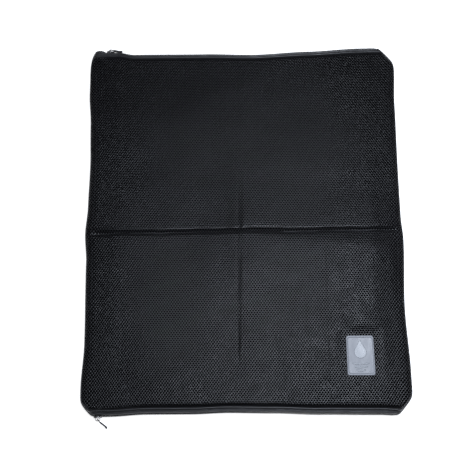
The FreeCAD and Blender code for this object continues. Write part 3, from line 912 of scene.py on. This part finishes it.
def make_slider(edge):
    up = MOUTHS[edge][1]
    body = f"{edge}_slider"
    low, high = cad(f"{edge}_slider_body")
    centre_x = (low[0] + high[0]) / 2
    half_length = (high[0] - low[0]) / 2
    near, far = sorted((abs(low[1]), abs(high[1])))
    half_width = (high[2] - low[2]) / 2
    outline = slider_outline(half_length, half_width, half_width * 0.80)
    plate = ((0.93, 0.0), (1.0, 0.3), (1.0, 0.85), (0.95, 1.12), (0.80, 1.24), (0.4, 1.32))
    outer_place = slider_place(centre_x, up, far - 1.2)
    outer = ringed_piece(f"{edge}_slider_crown", outline, plate, outer_place, [NICKEL])
    base = ((0.90, 0.0), (1.0, 0.25), (1.0, 0.9), (0.95, 1.15))
    inner_place = slider_place(centre_x, up, near)
    inner = ringed_piece(f"{edge}_slider_base", outline, base, inner_place, [NICKEL])
    finish_piece(outer, body, (f"{edge}_slider_body",))
    finish_piece(inner, body, (f"{edge}_slider_body",))
    rails = []
    for across in (-1, 1):
        x = np.linspace(centre_x - half_length + 0.9, centre_x + 1.8, 14)
        z = MIDDLE_Z + across * (half_width - 0.62) * np.ones(14)
        z = z - across * 0.35 * smooth((x - centre_x) / 2)
        y = up * np.full(14, far - 2.0)
        rail = tube_rings(np.column_stack([x, y, z]), 0.55, 10, (0, 1, 0))
        rails.append((rail, grid_faces(14, 10, True)))
    x = np.linspace(centre_x - half_length + 1.2, centre_x - half_length + 3.4, 8)
    wedge = 0.32 * np.sin(np.linspace(0.25, 0.8, 8) * math.pi)
    post = []
    for y in np.linspace(near + 1.0, far - 1.0, 6):
        upper = np.column_stack([x, np.full(8, up * y), MIDDLE_Z + wedge])
        lower = np.column_stack([x[::-1], np.full(8, up * y), MIDDLE_Z - wedge[::-1]])
        post.append(np.concatenate([upper, lower]))
    rails.append((np.array(post), grid_faces(6, 16, True)))
    points, faces = join_points(rails)
    channel = mesh_piece(f"{edge}_slider_channel", points, faces, [NICKEL])
    finish_piece(channel, body, (f"{edge}_slider_body",))
    make_bridge(edge, up, body, centre_x, far)


def make_bridge(edge, up, body, centre_x, level):
    """Cast arch that the pull tab hangs on."""
    low, high = cad(f"{edge}_slider_bridge")
    half = (high[0] - low[0]) / 2 - 0.6
    rise = max(abs(low[1]), abs(high[1])) - level - 0.6
    turn = np.linspace(-0.12, math.pi + 0.12, 30)
    x = centre_x - half * squarish(np.cos(turn), 0.7)
    y = level + rise * squarish(np.sin(turn), 0.6)
    half_wide = 1.0 + 0.12 * np.sin(turn)
    path = np.column_stack([x, y, np.full(30, MIDDLE_Z)])
    run = np.gradient(path, axis=0)
    run /= np.linalg.norm(run, axis=1, keepdims=True)
    side = np.cross(run, (0, 0, 1))
    round_it = np.arange(14) * FULL / 14
    flat = squarish(np.cos(round_it), 0.5)
    deep = squarish(np.sin(round_it), 0.5)
    rings = path[:, None] + side[:, None] * (0.58 * deep)[:, None]
    rings[..., 2] += flat * half_wide[:, None]
    rings[..., 1] *= up
    piece = grid_piece(f"{edge}_slider_arch", rings, [NICKEL], close_columns=True, ends=True)
    finish_piece(piece, body, (f"{edge}_slider_bridge",))


def make_pull(edge, up):
    """Flat tab hung on the arch: an eye, a slim slotted stem and a thicker grip."""
    body = f"{edge}_pull"
    pivot = np.array(joint(f"{edge}_pull_swing")["pos_m"]) / MM
    lean = math.radians(-6.0) if up > 0 else math.radians(43.0)
    length = 20.0

    def place(points):
        """points are (along the tab, out of its face, across)."""
        along, across = points[..., 0], points[..., 2]
        out = points[..., 1] + 0.5 * np.sin(FULL * along / length)
        x = pivot[0] + along * math.cos(lean) - out * math.sin(lean)
        y = pivot[1] + up * (along * math.sin(lean) + out * math.cos(lean))
        return np.stack([x, y, pivot[2] + across], axis=-1)

    parts = []
    eye = (2.2, 2.9, 2.3, 0.62, 0.6)
    stem = (10.6, 5.6, 1.55, 0.8, 1.25)
    for centre, half_long, half_wide, radius, half_thick in (eye, stem):
        turn = np.linspace(0, FULL, 41)[:-1]
        along = centre + half_long * squarish(np.cos(turn), 0.6)
        across = half_wide * squarish(np.sin(turn), 0.7)
        path = np.column_stack([along, np.zeros(40), across])
        run = np.roll(path, -1, axis=0) - np.roll(path, 1, axis=0)
        run /= np.linalg.norm(run, axis=1, keepdims=True)
        aside = np.cross(run, (0, 1, 0))
        round_it = np.arange(10) * FULL / 10
        rings = path[:, None] + aside[:, None] * (radius * np.cos(round_it))[:, None]
        rings[..., 1] += half_thick * np.sin(round_it)
        closed = np.concatenate([rings, rings[:1]])
        parts.append((place(closed), grid_faces(41, 10, True)))
    along = np.linspace(-1, 1, 14)
    round_it = np.arange(16) * FULL / 16
    half_wide = 2.9 * np.clip(1 - np.abs(along) ** 4, 0.02, 1) ** 0.35
    half_thick = 1.5 * np.clip(1 - np.abs(along) ** 3, 0.02, 1) ** 0.5
    grip = np.stack(np.broadcast_arrays(
        (length - 2.7 + 2.6 * along)[:, None],
        half_thick[:, None] * squarish(np.sin(round_it), 0.7),
        half_wide[:, None] * squarish(np.cos(round_it), 0.6),
    ), axis=-1)
    parts.append((place(grip), grid_faces(14, 16, True) + end_caps(14, 16)))
    points, faces = join_points(parts)
    piece = mesh_piece(f"{edge}_pull_loop", points, faces, [BLACK_PULL])
    finish_piece(piece, body, (f"{edge}_pull_tab",))


# ============================================================ badge
def rounded_outline(half_x, half_y, radius, per_corner=14, per_side=10):
    """Rounded rectangle, with points along its sides so that it can bend with the cloth."""
    points = []
    corners = ((1, 1, 0.0), (-1, 1, QUARTER), (-1, -1, 2 * QUARTER), (1, -1, 3 * QUARTER))
    for sign_x, sign_y, start in corners:
        for angle in np.linspace(start, start + QUARTER, per_corner):
            points.append((sign_x * (half_x - radius) + radius * math.cos(angle),
                           sign_y * (half_y - radius) + radius * math.sin(angle)))
        first = np.array(points[-1])
        turned = start + QUARTER
        after = {1: (-1, 1), 2: (-1, -1), 3: (1, -1), 4: (1, 1)}[round(turned / QUARTER)]
        last = np.array((after[0] * (half_x - radius) + radius * math.cos(turned),
                         after[1] * (half_y - radius) + radius * math.sin(turned)))
        for share in np.linspace(0, 1, per_side + 2)[1:-1]:
            points.append(tuple(first + (last - first) * share))
    return np.array(points)


def badge_place(centre_x, centre_y, level):
    def place(points):
        x = centre_x + points[:, 0]
        y = centre_y + points[:, 1]
        lying_x, lying_y = lie(x, y)
        return np.column_stack([lying_x, lying_y, level + points[:, 2]])
    return place


def make_badge():
    """Soft moulded badge: dished plate inside a raised rim, with a drop over three waves."""
    level = BADGE_LOW[2]
    outline = rounded_outline(BADGE_HALF[0], BADGE_HALF[1], 4.0)
    rim = ((0.985, -0.25), (1.0, 0.1), (1.0, 1.4), (0.992, 1.72), (0.975, 1.9), (0.935, 1.9),
           (0.915, 1.74), (0.902, 1.3), (0.885, 1.2))
    dish = tuple((share, 1.2) for share in (0.8, 0.65, 0.5, 0.35, 0.2, 0.07))
    lies = badge_place(*BADGE_CENTRE[:2], level)
    plate = ringed_piece("badge_moulded_plate", outline, rim + dish, lies, [BADGE_GREY])
    bend_piece(plate, ("badge_plate",))
    radius, tall, count = 9.5, 19.0, 72
    lean = math.acos(radius / tall)
    drop = []
    for k in range(count):
        angle = -QUARTER + FULL * k / count
        off = abs(((angle - QUARTER + math.pi) % FULL) - math.pi)
        reach = radius if off > lean else radius / math.cos(lean - off)
        drop.append((reach * math.cos(angle), reach * math.sin(angle)))
    raised = ((1.0, 1.1), (1.0, 1.55), (0.97, 1.72), (0.9, 1.8), (0.7, 1.83), (0.45, 1.84), (0.2, 1.84))
    place = badge_place(BADGE_CENTRE[0], BADGE_CENTRE[1] + 5.0, level)
    piece = ringed_piece("badge_raised_drop", drop, raised, place, [BADGE_RAISED])
    bend_piece(piece, ("badge_motif",))
    parts = []
    for number, half_width in enumerate((13.0, 10.0, 7.0)):
        x = np.linspace(-half_width, half_width, 40)
        y = -13.0 - 5.0 * number + 1.4 * (x / half_width) ** 2
        path = np.column_stack([BADGE_CENTRE[0] + x, BADGE_CENTRE[1] + y, np.full(40, level + 1.1)])
        swell = 1.35 * np.clip(1 - np.abs(x / half_width) ** 8, 0.05, 1) ** 0.5
        rings = tube_rings(path, swell, 10, (0, 0, 1))
        rings[..., 2] = level + 1.1 + (rings[..., 2] - level - 1.1) * 0.6
        rings[..., 0], rings[..., 1] = lie(rings[..., 0], rings[..., 1])
        parts.append((rings, grid_faces(40, 10, True) + end_caps(40, 10)))
    points, faces = join_points(parts)
    piece = mesh_piece("badge_raised_waves", points, faces, [BADGE_RAISED])
    bend_piece(piece, ("badge_motif",))


# ============================================================ stage, light and camera
# The camera looks down at the lying bag: place in mm, turn in degrees, lens in mm.
CAMERA_PLACE = (6.3, -414.8, 1418.6)
CAMERA_TURN = (15.96, 1.27, -0.45)
LENS = 72.7
# One soft key light, in metres and watts, a little blue.
KEY_PLACE = (0.166, -0.083, 1.0)
KEY_AIM = (0.06, -0.04, 0.0)
KEY_SIZE = 0.50
KEY_POWER = 12.5
KEY_COLOUR = (0.90, 0.97, 1.10)
WORLD_STRENGTH = 0.08


def make_stage():
    floor_material, _, shader, _ = new_material("pale_floor", (0.85, 0.85, 0.85), 0.8)
    shader.inputs["Emission Color"].default_value = (1, 1, 1, 1)
    shader.inputs["Emission Strength"].default_value = 0.8
    size = 3000.0
    corners = [(-size, -size, -0.05), (size, -size, -0.05), (size, size, -0.05), (-size, size, -0.05)]
    floor = mesh_piece("floor", corners, [(0, 1, 2, 3)], [floor_material])


def make_key_light():
    data = bpy.data.lights.new("key", "AREA")
    data.shape = "SQUARE"
    data.size = KEY_SIZE
    data.energy = KEY_POWER
    data.color = KEY_COLOUR
    light = bpy.data.objects.new("key", data)
    light.visible_camera = False
    light.location = KEY_PLACE
    direction = Vector(KEY_AIM) - Vector(KEY_PLACE)
    light.rotation_euler = direction.to_track_quat("-Z", "Y").to_euler()
    bpy.context.scene.collection.objects.link(light)


def make_lights():
    world = bpy.data.worlds.new("studio")
    world.use_nodes = True
    background = world.node_tree.nodes["Background"]
    background.inputs["Color"].default_value = (1, 1, 1, 1)
    background.inputs["Strength"].default_value = WORLD_STRENGTH
    bpy.context.scene.world = world
    make_key_light()


def make_camera():
    data = bpy.data.cameras.new("camera")
    data.sensor_width = 36.0
    data.lens = LENS
    camera = bpy.data.objects.new("camera", data)
    camera.location = Vector(CAMERA_PLACE) * MM
    camera.rotation_euler = Euler([math.radians(angle) for angle in CAMERA_TURN], "XYZ")
    bpy.context.scene.collection.objects.link(camera)
    bpy.context.scene.camera = camera
    bpy.context.scene.view_settings.view_transform = "Standard"


# ============================================================ the whole bag
make_camera()
make_lights()
make_stage()
make_back_panel()
make_front_panel()
make_divider()
for edge_name, (mouth_name, direction) in MOUTHS.items():
    make_zipper(edge_name)
    for side_label in SIDES:
        make_corner(edge_name, side_label)
    make_slider(edge_name)
    make_pull(edge_name, direction)
    make_stops(edge_name)
make_tape_hump()
for side_label in SIDES:
    make_side_seam(side_label)
make_badge()
